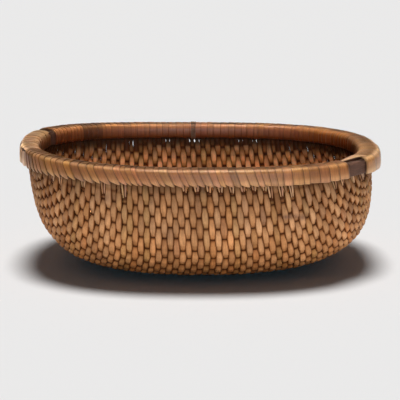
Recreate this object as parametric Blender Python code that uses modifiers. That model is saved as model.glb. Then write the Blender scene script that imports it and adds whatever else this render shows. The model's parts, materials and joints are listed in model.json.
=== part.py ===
"""Oval grain basket woven from willow rods on hemp cords, with a wrapped rim.

World frame: metres, +Z up, origin under the middle of the floor.
+X runs along the basket's length, -Y is its front.

The woven wall is a bowl. Every rod is a flat curve that starts at the keel, the line y = 0 that runs
along the length of the bowl, and climbs to the rim at the front and at the back. A place on the wall
is therefore given by two distances: "across", measured along the keel from the middle of the floor,
and "along", measured along the rod from the keel, negative towards the front.
"""

import math
from functools import lru_cache

import bmesh
import bpy
import numpy as np
from mathutils import Vector

# Bowl, measured on the middle of the wall's thickness.
RIM_HALF_X = 0.286
RIM_HALF_Y = 0.238
RIM_LINE_Z = 0.176
BASE_SCALE = 0.29
WALL_FULLNESS = 3.0
WALL_ROUNDNESS = 2.65
PLAN_POWER_FLOOR = 2.3
PLAN_POWER_RIM = 2.6

# Rods. A band is a flat strip that stands for five rods side by side.
BAND_COUNT = 16
BAND_THICKNESS = 0.004
BAND_GAP = 0.0012
KEEL_MARGIN = 0.006
ROD_TOP_Z = 0.196
ROD_LEAN = math.radians(25.0)
ROD_LEAN_GROWTH = 1.5

# Cords, and the waves that the bands make around them.
CORD_ROWS = 18
CORD_RADIUS = 0.0007
CORD_CLEARANCE = 0.0006
CORD_END_TRIM = 0.0015
TOP_CORD_Z = 0.154
CORD_CONVERGENCE = 0.8
CORD_CLOSEST = 0.5
CORD_TO_RIM = 0.012
WAVE_HEIGHT = 0.0035
REST_ROWS = 3
REST_HALF_FLAT = 0.004
REST_REACH = 0.11
REST_DROP = 0.0005
FLOOR_Z = WAVE_HEIGHT + REST_DROP + BAND_THICKNESS / 2.0

# Rim. Offsets are measured outwards from the middle of the wall.
HOOP_FOOT_Z = 0.178
HOOP_TOP_Z = 0.196
HOOP_CLEARANCE = 0.0025
OUTER_HOOP_OFFSET = 0.0125
INNER_HOOP_OFFSET = 0.0103
END_STATIONS = (-0.5, 0.0, 0.5)
WRAP_CENTRE = 0.001
WRAP_HALF_WIDTH = 0.015
WRAP_THICKNESS = 0.004
WRAP_FOOT_Z = 0.172
WRAP_SHOULDER_Z = 0.190
WRAP_CROWN_Z = 0.2015
ARCH_STEPS = 6
BINDING_THICKNESS = 0.005
BINDING_EXTRA = 0.0005
BINDING_HALF_Y = 0.125
BARE_HOOP_LENGTH = 0.030
WRAP_SEAM = 0.0012
TIE_X = -0.011
TIE_WIDTH = 0.007
TIE_THICKNESS = 0.001

# Sampling. Heights are packed towards the foot of a curve, where it bends most.
CURVE_SAMPLES = 240
CURVE_PACKING = 3
NORMAL_STEP = 0.0005
WAVE_REFINEMENTS = 5

# Colours, and how much the willow's varies from band to band.
WILLOW_COLOUR = (0.44, 0.22, 0.09)
WILLOW_ROUGHNESS = 0.62
SHADE_SPREAD = 0.12
SHADE_TURN = 2.3
HOOP_COLOUR = (0.13, 0.055, 0.028)
HOOP_ROUGHNESS = 0.6
WRAP_COLOUR = (0.47, 0.2, 0.07)
WRAP_ROUGHNESS = 0.5
BINDING_COLOUR = (0.34, 0.17, 0.08)
BINDING_ROUGHNESS = 0.55
HEMP_COLOUR = (0.2, 0.11, 0.05)
HEMP_ROUGHNESS = 0.9

COLLECTION_NAME = "grain_basket"


def clear_scene():
    """Remove every object that the file starts with."""
    for scene_object in list(bpy.data.objects):
        bpy.data.objects.remove(scene_object, do_unlink=True)


def make_material(name, colour, roughness):
    """A matt plant-fibre material."""
    material = bpy.data.materials.new(name)
    material.use_nodes = True
    shader = material.node_tree.nodes["Principled BSDF"]
    shader.inputs["Base Color"].default_value = (*colour, 1.0)
    shader.inputs["Roughness"].default_value = roughness
    shader.inputs["Metallic"].default_value = 0.0
    material.diffuse_color = (*colour, 1.0)
    return material


# --- the bowl -----------------------------------------------------------------------------------


def wall_scale(height):
    """Size of the bowl's outline at a height, as a share of the outline at the rim line."""
    rise = (height - FLOOR_Z) / (RIM_LINE_Z - FLOOR_Z)
    swell = (1.0 - (1.0 - rise) ** WALL_FULLNESS) ** (1.0 / WALL_ROUNDNESS)
    return BASE_SCALE + (1.0 - BASE_SCALE) * swell


def plan_power(height):
    """Squareness of the bowl's outline: 2 is an ellipse, more is squarer."""
    rise = (height - FLOOR_Z) / (RIM_LINE_Z - FLOOR_Z)
    return PLAN_POWER_FLOOR + (PLAN_POWER_RIM - PLAN_POWER_FLOOR) * rise


def wall_half_depth(x, height):
    """Distance of the wall from the keel plane, at a place along the length and a height."""
    scale = wall_scale(height)
    power = plan_power(height)
    share = min(abs(x) / (RIM_HALF_X * scale), 1.0)
    return RIM_HALF_Y * scale * (1.0 - share**power) ** (1.0 / power)


def distances_along(points):
    """Distance from the first point to each point of a polyline."""
    steps = np.linalg.norm(np.diff(points, axis=0), axis=1)
    return np.concatenate(([0.0], np.cumsum(steps)))


@lru_cache(maxsize=None)
def keel_curve():
    """The right half of the keel, from the middle of the floor to the rim line."""
    points = [(0.0, 0.0, FLOOR_Z)]
    for step in range(CURVE_SAMPLES + 1):
        height = FLOOR_Z + (RIM_LINE_Z - FLOOR_Z) * (step / CURVE_SAMPLES) ** CURVE_PACKING
        points.append((RIM_HALF_X * wall_scale(height), 0.0, height))
    points = np.array(points)
    return points, distances_along(points)


def keel_length():
    """Length of half the keel."""
    return keel_curve()[1][-1]


def last_edge():
    """Place along the keel of the outermost rod's outer edge."""
    return keel_length() - KEEL_MARGIN


@lru_cache(maxsize=None)
def half_rod(across):
    """A rod's centre line from the keel to the rim line, for a distance across of 0 or more."""
    keel, distances = keel_curve()
    x_foot = float(np.interp(across, distances, keel[:, 0]))
    z_foot = float(np.interp(across, distances, keel[:, 2]))
    lean = ROD_LEAN * (across / keel_length()) ** ROD_LEAN_GROWTH
    climb = RIM_LINE_Z - z_foot
    points = [(x_foot, 0.0, z_foot)]
    for step in range(CURVE_SAMPLES + 1):
        rise = climb * (step / CURVE_SAMPLES) ** CURVE_PACKING
        x = x_foot - rise * math.tan(lean)
        points.append((x, wall_half_depth(x, z_foot + rise), z_foot + rise))
    points = np.array(points)
    return points, distances_along(points)


def rod_half_length(across):
    """Length of a rod from the keel to the rim line."""
    return float(half_rod(abs(across))[1][-1])


def wall_point(across, along):
    """The place on the wall at two distances; past the rim line the wall stands upright."""
    points, distances = half_rod(abs(across))
    reach = min(abs(along), distances[-1])
    x, y, z = (float(np.interp(reach, distances, points[:, axis])) for axis in range(3))
    z += abs(along) - reach
    return Vector((math.copysign(x, across), math.copysign(y, along), z))


def wall_normal(across, along):
    """The wall's outward direction at two distances."""
    sideways = wall_point(across + NORMAL_STEP, along) - wall_point(across - NORMAL_STEP, along)
    lengthways = wall_point(across, along + NORMAL_STEP) - wall_point(across, along - NORMAL_STEP)
    return lengthways.cross(sideways).normalized()


# --- cords and rods -----------------------------------------------------------------------------


@lru_cache(maxsize=None)
def cord_spacing():
    """Distance between cords on the middle rod, so that the top cord lies at its height."""
    points, distances = half_rod(0.0)
    return float(np.interp(TOP_CORD_Z, points[:, 2], distances)) / CORD_ROWS


def local_cord_spacing(across):
    """Distance between cords along a rod: the cords draw together on the short end rods."""
    share = rod_half_length(across) / rod_half_length(0.0)
    return cord_spacing() * max(CORD_CLOSEST, share**CORD_CONVERGENCE)


def rows_crossed(across):
    """The number of the last cord that a rod crosses below the rim."""
    rows = int((rod_half_length(across) - CORD_TO_RIM) / local_cord_spacing(across))
    return min(rows, CORD_ROWS)


def wave_height(across):
    """How far a band swings from the middle of the wall, enough to clear the cord under it."""
    clear = CORD_RADIUS + CORD_CLEARANCE
    height = WAVE_HEIGHT
    for _ in range(WAVE_REFINEMENTS):
        slope = 2.0 * height / local_cord_spacing(across)
        height = clear + BAND_THICKNESS / 2.0 * math.hypot(1.0, slope)
    return max(WAVE_HEIGHT, height)


def band_edges():
    """Places along the keel of the seams between the bands, from left to right."""
    width = 2.0 * last_edge() / BAND_COUNT
    return [-last_edge() + width * index for index in range(BAND_COUNT + 1)]


def edge_distance(across, row, last_row):
    """Distance along a band's edge of a row; rows past the edge's own share its last stretch."""
    own_rows = rows_crossed(across)
    spacing = local_cord_spacing(across)
    if abs(row) <= own_rows:
        return row * spacing
    spare = rod_half_length(across) - own_rows * spacing
    share = (abs(row) - own_rows) / (last_row - own_rows + 1)
    return math.copysign(own_rows * spacing + spare * share, row)


def edge_swing(across, row, last_row, shared_rows, index):
    """Offset of a band's edge from the middle of the wall at a row, positive outwards."""
    nearest_shared = max(-shared_rows, min(shared_rows, row))
    side = 1.0 if (nearest_shared + index) % 2 == 0 else -1.0
    past = edge_distance(across, row, last_row) - edge_distance(across, nearest_shared, last_row)
    fade = max(0.0, 1.0 - abs(past) / local_cord_spacing(across))
    return side * fade * wave_height(across)


def band_rows(left, right, index):
    """Rows of a band, front top to back top, each with (distance along, offset) for both edges."""
    last_row = max(rows_crossed(left), rows_crossed(right))
    shared_rows = min(rows_crossed(left), rows_crossed(right))
    crosses_floor = max(abs(left), abs(right)) < REST_REACH
    rows = []
    for row in range(-last_row, last_row + 1):
        spread = (0.0,)
        drop = 0.0
        if crosses_floor and abs(row) <= REST_ROWS:
            spread = (-REST_HALF_FLAT, REST_HALF_FLAT)
            drop = REST_DROP if (row + index) % 2 == 0 else 0.0
        for shift in spread:
            ends = []
            for edge in (left, right):
                along = edge_distance(edge, row, last_row) + shift
                ends.append((along, edge_swing(edge, row, last_row, shared_rows, index) + drop))
            rows.append(ends)
    rim_line = [rod_half_length(edge) for edge in (left, right)]
    for rise in (0.0, ROD_TOP_Z - RIM_LINE_Z):
        rows.insert(0, [(-length - rise, 0.0) for length in rim_line])
        rows.append([(length + rise, 0.0) for length in rim_line])
    return rows


def make_sheet(name, rows, thickness, material, home, parent):
    """A closed sheet of even thickness over a grid of places, rows by columns."""
    centre = sum((place for row in rows for place in row), Vector()) / (len(rows) * len(rows[0]))
    cage = bmesh.new()
    bmesh.ops.create_grid(cage, x_segments=len(rows[0]) - 1, y_segments=len(rows) - 1, size=1.0)
    places = [place - centre for row in rows for place in row]
    for vertex, place in zip(cage.verts, places):
        vertex.co = place
    mesh = bpy.data.meshes.new(name)
    cage.to_mesh(mesh)
    cage.free()
    mesh.materials.append(material)
    sheet = bpy.data.objects.new(name, mesh)
    home.objects.link(sheet)
    sheet.parent = parent
    sheet.location = centre
    solidify = sheet.modifiers.new("thickness", "SOLIDIFY")
    solidify.thickness = thickness
    solidify.offset = 0.0
    solidify.use_even_offset = True
    return sheet


def make_band(index, left_edge, right_edge, material, home, parent):
    """Five neighbouring rods as one strip, swinging over one cord and under the next."""
    left = left_edge + BAND_GAP / 2.0
    right = right_edge - BAND_GAP / 2.0
    rows = []
    for ends in band_rows(left_edge, right_edge, index):
        row = []
        for across, (along, offset) in zip((left, right), ends):
            row.append(wall_point(across, along) + wall_normal(across, along) * offset)
        rows.append(row)
    name = f"willow_rods_{index + 1:02d}"
    return make_sheet(name, rows, BAND_THICKNESS, material, home, parent)


def make_cord(row, number, material, home, parent):
    """One hemp cord, end to end along the basket in the middle of the wall."""
    places = []
    for across in band_edges():
        if abs(row) <= rows_crossed(across):
            places.append(wall_point(across, row * local_cord_spacing(across)))
    for end, inner in ((0, 1), (-1, -2)):
        inward = (places[inner] - places[end]).normalized()
        places[end] = places[end] + inward * CORD_END_TRIM
    curve = bpy.data.curves.new(f"hemp_cord_{number:02d}", "CURVE")
    curve.dimensions = "3D"
    curve.bevel_depth = CORD_RADIUS
    curve.bevel_resolution = 0
    curve.use_fill_caps = True
    origin = places[len(places) // 2]
    spline = curve.splines.new("POLY")
    spline.points.add(len(places) - 1)
    for point, place in zip(spline.points, places):
        point.co = (*(place - origin), 1.0)
    curve.materials.append(material)
    cord = bpy.data.objects.new(curve.name, curve)
    home.objects.link(cord)
    cord.parent = parent
    cord.location = origin
    return cord


# --- rim ----------------------------------------------------------------------------------------


def rim_half_length_at(y):
    """Half the length of the rim line at a depth."""
    share = abs(y) / RIM_HALF_Y
    return RIM_HALF_X * (1.0 - share**PLAN_POWER_RIM) ** (1.0 / PLAN_POWER_RIM)


def rim_outward(place):
    """The horizontal direction away from the bowl at a place on the rim line."""
    power = PLAN_POWER_RIM
    x = math.copysign((abs(place.x) / RIM_HALF_X) ** (power - 1.0) / RIM_HALF_X, place.x)
    y = math.copysign((abs(place.y) / RIM_HALF_Y) ** (power - 1.0) / RIM_HALF_Y, place.y)
    return Vector((x, y, 0.0)).normalized()


@lru_cache(maxsize=None)
def rim_loop():
    """Places once round the rim, from the left end by the front: every band edge and the ends."""
    edges = band_edges()
    front = [wall_point(edge, -rod_half_length(edge)) for edge in edges]
    right = []
    for share in END_STATIONS:
        y = abs(front[-1].y) * share
        right.append(Vector((rim_half_length_at(y), y, RIM_LINE_Z)))
    half = front + right
    back = [Vector((-place.x, -place.y, place.z)) for place in half]
    loop = half + back
    for place in loop:
        place.z = 0.0
    return loop


def rim_lengths():
    """Distance round the rim of each place in rim_loop, with the closing length last."""
    loop = rim_loop()
    lengths = [0.0]
    for here, there in zip(loop, loop[1:] + loop[:1]):
        lengths.append(lengths[-1] + (there - here).length)
    return lengths


def rim_length_at(x, y_sign):
    """Distance round the rim to a place given by its x and its side, -1 front or 1 back."""
    loop = rim_loop()
    lengths = rim_lengths()
    for index, here in enumerate(loop):
        there = loop[(index + 1) % len(loop)]
        on_side = here.y * y_sign >= 0.0 and there.y * y_sign >= 0.0
        if on_side and min(here.x, there.x) <= x <= max(here.x, there.x):
            share = (x - here.x) / (there.x - here.x)
            return lengths[index] + share * (lengths[index + 1] - lengths[index])
    raise ValueError("no such place on the rim")


def rim_run(start, end):
    """Places and outward directions along the rim between two distances round it."""
    loop = rim_loop()
    lengths = rim_lengths()
    total = lengths[-1]
    marks = [start, end]
    marks += [length + turn for length in lengths[:-1] for turn in (-total, 0.0, total)
              if start + WRAP_SEAM < length + turn < end - WRAP_SEAM]
    run = []
    for mark in sorted(marks):
        wrapped = mark % total
        index = max(i for i in range(len(loop)) if lengths[i] <= wrapped)
        share = (wrapped - lengths[index]) / (lengths[index + 1] - lengths[index])
        here, there = loop[index], loop[(index + 1) % len(loop)]
        place = here.lerp(there, share)
        outward = rim_outward(here).lerp(rim_outward(there), share).normalized()
        run.append((place, outward))
    return run


def arch_section(extra, lift, first_step=0, last_step=ARCH_STEPS, legs=(True, True)):
    """Points (offset, height) over the hoops, from the outer foot to the inner foot."""
    half_width = WRAP_HALF_WIDTH + extra
    crown = WRAP_CROWN_Z + lift - WRAP_SHOULDER_Z
    section = []
    if legs[0]:
        section.append((WRAP_CENTRE + half_width, WRAP_FOOT_Z))
    for step in range(first_step, last_step + 1):
        angle = math.pi * step / ARCH_STEPS
        side = math.copysign(math.sqrt(abs(math.cos(angle))), math.cos(angle))
        height = WRAP_SHOULDER_Z + crown * math.sqrt(max(math.sin(angle), 0.0))
        section.append((WRAP_CENTRE + half_width * side, height))
    if legs[1]:
        section.append((WRAP_CENTRE - half_width, WRAP_FOOT_Z))
    return section


def make_saddle(name, run, section, thickness, material, home, parent):
    """A sheet bent over the rim: the section swept along a run of the rim."""
    rows = []
    for place, outward in run:
        rows.append([place + outward * offset + Vector((0.0, 0.0, height)) for offset, height in section])
    return make_sheet(name, rows, thickness, material, home, parent)


def make_hoop(name, near, far, material, home, parent):
    """A bent strip round the rim between two offsets from the middle of the wall."""
    curve = bpy.data.curves.new(name, "CURVE")
    curve.dimensions = "2D"
    curve.fill_mode = "BOTH"
    curve.extrude = (HOOP_TOP_Z - HOOP_FOOT_Z) / 2.0
    for offset in (near, far):
        spline = curve.splines.new("POLY")
        spline.points.add(len(rim_loop()) - 1)
        for point, place in zip(spline.points, rim_loop()):
            point.co = (*(place + rim_outward(place) * offset), 1.0)
        spline.use_cyclic_u = True
    curve.materials.append(material)
    hoop = bpy.data.objects.new(name, curve)
    home.objects.link(hoop)
    hoop.parent = parent
    hoop.location = (0.0, 0.0, (HOOP_TOP_Z + HOOP_FOOT_Z) / 2.0)
    return hoop


def binding_ends():
    """Distances round the rim where each covering starts and stops."""
    end_x = rim_half_length_at(BINDING_HALF_Y)
    return {
        "left_front": rim_length_at(-end_x, -1),
        "right_front": rim_length_at(end_x, -1),
        "right_back": rim_length_at(end_x, 1),
        "left_back": rim_length_at(-end_x, 1),
    }


def build_rim(materials, home, parent):
    """The two hoops, the wrappings over them, the end bindings and the small tie."""
    make_hoop("outer_hoop", HOOP_CLEARANCE, OUTER_HOOP_OFFSET, materials["hoop"], home, parent)
    make_hoop("inner_hoop", -INNER_HOOP_OFFSET, -HOOP_CLEARANCE, materials["hoop"], home, parent)
    ends = binding_ends()
    total = rim_lengths()[-1]
    wrap = arch_section(0.0, 0.0)
    binding = arch_section(BINDING_EXTRA, 0.0)
    front = rim_run(ends["left_front"] + WRAP_SEAM, ends["right_front"] - BARE_HOOP_LENGTH)
    back = rim_run(ends["right_back"] + WRAP_SEAM, ends["left_back"] - WRAP_SEAM)
    right = rim_run(ends["right_front"], ends["right_back"])
    left = rim_run(ends["left_back"], ends["left_front"] + total)
    make_saddle("rim_wrap_front", front, wrap, WRAP_THICKNESS, materials["wrap"], home, parent)
    make_saddle("rim_wrap_back", back, wrap, WRAP_THICKNESS, materials["wrap"], home, parent)
    make_saddle("end_binding_right", right, binding, BINDING_THICKNESS, materials["binding"], home, parent)
    make_saddle("end_binding_left", left, binding, BINDING_THICKNESS, materials["binding"], home, parent)
    lift = WRAP_THICKNESS / 2.0 + CORD_CLEARANCE + TIE_THICKNESS / 2.0
    tie_middle = rim_length_at(TIE_X, 1)
    tie_run = rim_run(tie_middle - TIE_WIDTH / 2.0, tie_middle + TIE_WIDTH / 2.0)
    tie_section = arch_section(lift, lift, first_step=2, legs=(False, True))
    make_saddle("rim_tie", tie_run, tie_section, TIE_THICKNESS, materials["cord"], home, parent)


def rod_material(index):
    """Peeled willow, a little lighter or darker from band to band."""
    shade = 1.0 + SHADE_SPREAD * math.sin(SHADE_TURN * index)
    colour = [channel * shade for channel in WILLOW_COLOUR]
    return make_material(f"willow_{index + 1:02d}", colour, WILLOW_ROUGHNESS)


def build():
    """Model the whole basket."""
    clear_scene()
    home = bpy.data.collections.new(COLLECTION_NAME)
    bpy.context.scene.collection.children.link(home)
    parent = bpy.data.objects.new("basket", None)
    home.objects.link(parent)
    materials = {
        "hoop": make_material("hoop_wood", HOOP_COLOUR, HOOP_ROUGHNESS),
        "wrap": make_material("rim_splint", WRAP_COLOUR, WRAP_ROUGHNESS),
        "binding": make_material("end_splint", BINDING_COLOUR, BINDING_ROUGHNESS),
        "cord": make_material("hemp", HEMP_COLOUR, HEMP_ROUGHNESS),
    }
    edges = band_edges()
    for index in range(BAND_COUNT):
        make_band(index, edges[index], edges[index + 1], rod_material(index), home, parent)
    for row in range(-CORD_ROWS, CORD_ROWS + 1):
        make_cord(row, row + CORD_ROWS + 1, materials["cord"], home, parent)
    build_rim(materials, home, parent)


build()
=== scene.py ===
"""Looks of the oval willow grain basket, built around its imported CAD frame.

The bowl is described the way the CAD describes it: a place on the wall is given by its distance
"across", measured along the keel (the line y = 0) from the middle of the floor, and its distance
"along" the rod that passes there, measured from the keel and negative towards the front (-Y). The
frame is a straight, even basket. The pieces here are also warped a little, by about 11 mm at most.
All lengths are in metres.
"""

import json
import math
import random
from functools import lru_cache

import bpy
import numpy as np
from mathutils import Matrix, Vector, noise

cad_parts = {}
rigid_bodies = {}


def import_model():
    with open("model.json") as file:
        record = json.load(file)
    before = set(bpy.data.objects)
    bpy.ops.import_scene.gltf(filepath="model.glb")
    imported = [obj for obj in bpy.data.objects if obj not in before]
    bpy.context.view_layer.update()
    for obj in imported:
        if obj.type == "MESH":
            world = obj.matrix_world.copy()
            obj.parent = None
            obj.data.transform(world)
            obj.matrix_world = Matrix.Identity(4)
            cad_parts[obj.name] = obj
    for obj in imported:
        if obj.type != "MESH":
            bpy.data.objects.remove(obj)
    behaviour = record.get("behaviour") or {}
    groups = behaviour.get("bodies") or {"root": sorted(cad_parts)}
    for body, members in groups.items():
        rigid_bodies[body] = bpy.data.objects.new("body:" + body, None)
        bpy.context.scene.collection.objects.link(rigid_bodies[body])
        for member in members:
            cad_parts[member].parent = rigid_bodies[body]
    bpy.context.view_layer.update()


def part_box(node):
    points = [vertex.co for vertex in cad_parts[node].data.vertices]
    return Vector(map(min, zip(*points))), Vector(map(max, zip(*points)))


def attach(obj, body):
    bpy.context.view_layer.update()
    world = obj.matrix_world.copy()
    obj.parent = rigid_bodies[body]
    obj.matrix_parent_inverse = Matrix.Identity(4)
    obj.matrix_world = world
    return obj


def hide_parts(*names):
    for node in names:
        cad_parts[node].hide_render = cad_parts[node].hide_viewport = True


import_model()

ROOT = "root"
MM = 0.001
UP = np.array((0.0, 0.0, 1.0))

# --- driving dimensions, the rim's worked out from the frame's outer hoop ---

OUTER_HOOP_OFFSET = 12.5 * MM
END_PULL = 1.5 * MM
HOOP_FOOT_TO_WALL = 5.0 * MM
OUTER_HOOP_LOW, OUTER_HOOP_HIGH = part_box("outer_hoop")
RIM_HALF_X = (OUTER_HOOP_HIGH.x - OUTER_HOOP_LOW.x) / 2.0 + END_PULL - OUTER_HOOP_OFFSET
RIM_HALF_Y = (OUTER_HOOP_HIGH.y - OUTER_HOOP_LOW.y) / 2.0 - OUTER_HOOP_OFFSET
HOOP_FOOT_Z = OUTER_HOOP_LOW.z
RIM_LINE_Z = HOOP_FOOT_Z - HOOP_FOOT_TO_WALL
HALF_WALL = 6.0 * MM
FLOOR_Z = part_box("willow_rods_08")[0].z + HALF_WALL
BASE_SCALE = 0.31
WALL_FULLNESS = 3.0
WALL_ROUNDNESS = 2.65
PLAN_POWER_FLOOR = 2.3
PLAN_POWER_RIM = 2.5

BANDS = 16
RODS_PER_BAND = 5
RODS = BANDS * RODS_PER_BAND
KEEL_MARGIN = 0.5 * MM
END_CLEARANCE = 1.0 * MM
ROD_LEAN = math.radians(25.0)
ROD_LEAN_GROWTH = 1.5
CORD_ROWS = 18
TOP_CORD_Z = 157.5 * MM
CORD_CONVERGENCE = 0.8
CORD_CLOSEST = 0.5
CORD_TO_RIM = 12.0 * MM
SAMPLES = 400
SAMPLE_POWER = 3
HOOP_TOP_RISE = 25.5 * MM
HOOP_FOOT_RISE = 3.4 * MM
ROD_TOP_RISE = 23.5 * MM

# The warp of the old basket, by height as a share of the rim line's height. The body leans a little
# towards +X, its left wall is tucked in, and the left end of the rim stands higher.
WARP_LEVELS = (0.0, 0.1, 0.3, 0.6, 0.85, 1.0, 1.2)
LEFT_SHIFTS = (0.0, 0.002, 0.008, 0.0085, 0.0055, 0.0015, 0.0015)
RIGHT_SHIFTS = (0.0, 0.008, 0.0085, 0.003, 0.0, -0.0015, -0.0015)
SIDE_TO_SIDE = 0.5
LEFT_RISE = 7.5 * MM

# --- rods and cords ---

RING_STEP = 2.3 * MM
ROD_SIDES = 12
ROD_HALF_THICKNESS = 4.1 * MM
ROD_TOP_HALF_THICKNESS = 2.2 * MM
SWING_LOW = 1.3 * MM
SWING_HIGH = 2.0 * MM
ROD_SQUARENESS = 0.72
SHARPNESS_LOW = 0.40
SHARPNESS_HIGH = 0.62
PINCH_LOW = 0.97
PINCH_HIGH = 0.80
FULL_LOW = 1.10
FULL_HIGH = 1.25
WAIST = 0.18
CORD_DENT = 0.6 * MM
CORD_WOBBLE = 0.19
# Unevenness of the cords, slow and quick: share, scale across, scale by row, seed.
CORD_PATTERNS = ((1.6, 11.0, 0.73, 4.2), (0.5, 90.0, 5.1, 9.7))
GAP_SHARE = 0.34
GAP_DEPTH = 0.36
GAP_REACH = 170.0 * MM
CORD_RADIUS = 0.7 * MM
CORD_SWING = 1.9 * MM
CORD_STEP = 2.2 * MM
CORD_SIDES = 6
CORD_GROUPS = 6
CORD_TWIST = 7.0 * MM
CORD_OVERHANG = 0.4
CORD_LINE_STEP = 0.2
CORD_SHARPNESS = 0.7
HEMP_TINT = (0.085, 0.03, 0.01)
STRAND_SHARE = 0.6

# How rods narrow under the rim where they dip inwards or outwards at the last cord.
NARROW_INWARD = 0.16
NARROW_OUTWARD = 0.06
# The part of the stretch under the rim that has gaps, and how far their ends fade.
GAP_FROM = 0.40
GAP_TO = 0.96
GAP_FADE = 0.2
DENT_LENGTH = 1.6 * MM
CROWDING_THINS = 0.12
# Random spread and step length of the variations along a rod.
WIDTH_WAVER = (0.035, 30.0 * MM)
DEPTH_WAVER = (0.18 * MM, 24.0 * MM)
DRIFT_WAVER = (0.22 * MM, 40.0 * MM)
ROD_WIDTH_SPREAD = 0.03
ROD_DEPTH_SPREAD = 0.08
ROD_SHADE_SPREAD = 0.06
STRETCH_SHADE_SPREAD = 0.10

WILLOW_SHADES = (
    ((0.56, 0.285, 0.13), 0.34),
    ((0.68, 0.37, 0.185), 0.22),
    ((0.56, 0.25, 0.095), 0.15),
    ((0.51, 0.28, 0.115), 0.08),
    ((0.52, 0.25, 0.13), 0.09),
    ((0.38, 0.19, 0.115), 0.03),
    ((0.42, 0.19, 0.08), 0.09),
)
# Painted shade: the dark colour of the rods' crevices and the splints' seams, and how fast each channel
# falls towards it.
CREVICE_SHADE = np.array((0.048, 0.013, 0.002))
CREVICE_SHADE_FALL = np.array((1.0, 1.3, 1.7))

# Brightness (painted light and shade), warmth and face tints (painted light and shade: dark just under
# the rim, brighter lower down inside) of the wall at heights given as shares of the rim line's height.
BRIGHT_LEVELS = (0.0, 0.08, 0.22, 0.5, 0.8, 1.0)
PAINTED_BRIGHTNESS = (0.48, 0.64, 0.93, 1.10, 0.90, 0.50)
WARM_LEVELS = (0.0, 0.25, 0.6, 1.0)
WARMTH = (0.7, 0.3, 0.05, 0.08)
WARM_CHANNELS = np.array((0.10, -0.3, -0.75))
INNER_LEVELS = (0.0, 0.3, 0.70, 0.80, 0.89, 0.95, 1.0)
INNER_PAINTED_LIGHT = (1.0, 1.4, 2.2, 1.8, 1.15, 0.32, 0.05)
OUTER_LEVELS = (0.0, 0.93, 1.0, 1.05)
OUTER_PAINTED_SHADE = (1.0, 1.0, 0.62, 0.4)
# Shading of a rod's sides, beside the cords and along its pinched stretches outside and inside.
SIDE_SHADE = 0.82
CORD_SHADE = 0.85
CORD_SHADE_LENGTH = 2.4 * MM
PINCH_SHADE_OUT = 0.18
PINCH_SHADE_IN = 0.50
DEEPEST_SHADE = 0.93
SPLIT_SHADE = 0.9

# Stains on the front wall: x, height, half length, half height, depth.
STAIN = np.array((0.10, 0.045, 0.04))
STAINS = (
    (0.136, 0.121, 0.014, 0.004, 0.75),
    (0.160, 0.118, 0.008, 0.005, 0.60),
    (0.006, 0.172, 0.006, 0.007, 0.55),
    (-0.055, 0.095, 0.012, 0.012, 0.35),
    (0.075, 0.080, 0.010, 0.014, 0.30),
    (-0.150, 0.150, 0.016, 0.010, 0.35),
)


# --- the bowl ---


def smooth(share):
    """Smooth step from 0 to 1."""
    share = np.clip(share, 0.0, 1.0)
    return share * share * (3.0 - 2.0 * share)


def mix(first, second, share):
    """Straight mix of two values."""
    return first + (second - first) * share


def wall_scale(height):
    """Size of the bowl's outline at a height, as a share of the outline at the rim line."""
    rise = np.clip((height - FLOOR_Z) / (RIM_LINE_Z - FLOOR_Z), 0.0, 1.0)
    swell = (1.0 - (1.0 - rise) ** WALL_FULLNESS) ** (1.0 / WALL_ROUNDNESS)
    return mix(BASE_SCALE, 1.0, swell)


def wall_half_depth(x, height):
    """Distance of the wall from the keel plane."""
    scale = wall_scale(height)
    rise = np.clip((height - FLOOR_Z) / (RIM_LINE_Z - FLOOR_Z), 0.0, 1.0)
    power = mix(PLAN_POWER_FLOOR, PLAN_POWER_RIM, rise)
    share = np.minimum(np.abs(x) / (RIM_HALF_X * scale), 1.0)
    return RIM_HALF_Y * scale * (1.0 - share**power) ** (1.0 / power)


def distances_along(points):
    """Distance from the first point to each point of a polyline."""
    steps = np.linalg.norm(np.diff(points, axis=0), axis=1)
    return np.concatenate(([0.0], np.cumsum(steps)))


@lru_cache(maxsize=None)
def keel_curve():
    """The right half of the keel, with distances along it."""
    heights = FLOOR_Z + (RIM_LINE_Z - FLOOR_Z) * np.linspace(0.0, 1.0, SAMPLES) ** SAMPLE_POWER
    points = np.stack([RIM_HALF_X * wall_scale(heights), 0.0 * heights, heights], axis=-1)
    points = np.vstack([[0.0, 0.0, FLOOR_Z], points])
    return points, distances_along(points)


KEEL_LENGTH = keel_curve()[1][-1]
LAST_EDGE = KEEL_LENGTH - KEEL_MARGIN
ROD_PITCH = 2.0 * LAST_EDGE / RODS


def rod_across(number):
    """Distance across of a rod's centre line; a number with a fraction lies between two rods."""
    return -LAST_EDGE + (number + 0.5) * ROD_PITCH


def foot_of(across):
    """A distance across without its sign, short of the keel's end, rounded so that it is cached."""
    return round(min(abs(across), KEEL_LENGTH - END_CLEARANCE), 7)


@lru_cache(maxsize=None)
def half_rod(across):
    """Centre line of the rod at a distance across of 0 or more, from the keel to the rim line."""
    keel, distances = keel_curve()
    x_foot = np.interp(across, distances, keel[:, 0])
    z_foot = np.interp(across, distances, keel[:, 2])
    lean = ROD_LEAN * (across / KEEL_LENGTH) ** ROD_LEAN_GROWTH
    rise = (RIM_LINE_Z - z_foot) * np.linspace(0.0, 1.0, SAMPLES) ** SAMPLE_POWER
    x = x_foot - rise * math.tan(lean)
    points = np.stack([x, wall_half_depth(x, z_foot + rise), z_foot + rise], axis=-1)
    points = np.vstack([[x_foot, 0.0, z_foot], points])
    return points, distances_along(points)


def rod_half_length(across):
    """Length of a rod from the keel to the rim line."""
    return float(half_rod(foot_of(across))[1][-1])


def wall_points(across, along):
    """Places on the wall at one distance across and many distances along."""
    points, distances = half_rod(foot_of(across))
    reach = np.minimum(np.abs(along), distances[-1])
    places = np.stack([np.interp(reach, distances, points[:, axis]) for axis in range(3)], axis=-1)
    places[:, 2] += np.abs(along) - reach
    places[:, 0] *= math.copysign(1.0, across)
    places[:, 1] *= np.where(along < 0.0, -1.0, 1.0)
    return places


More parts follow.
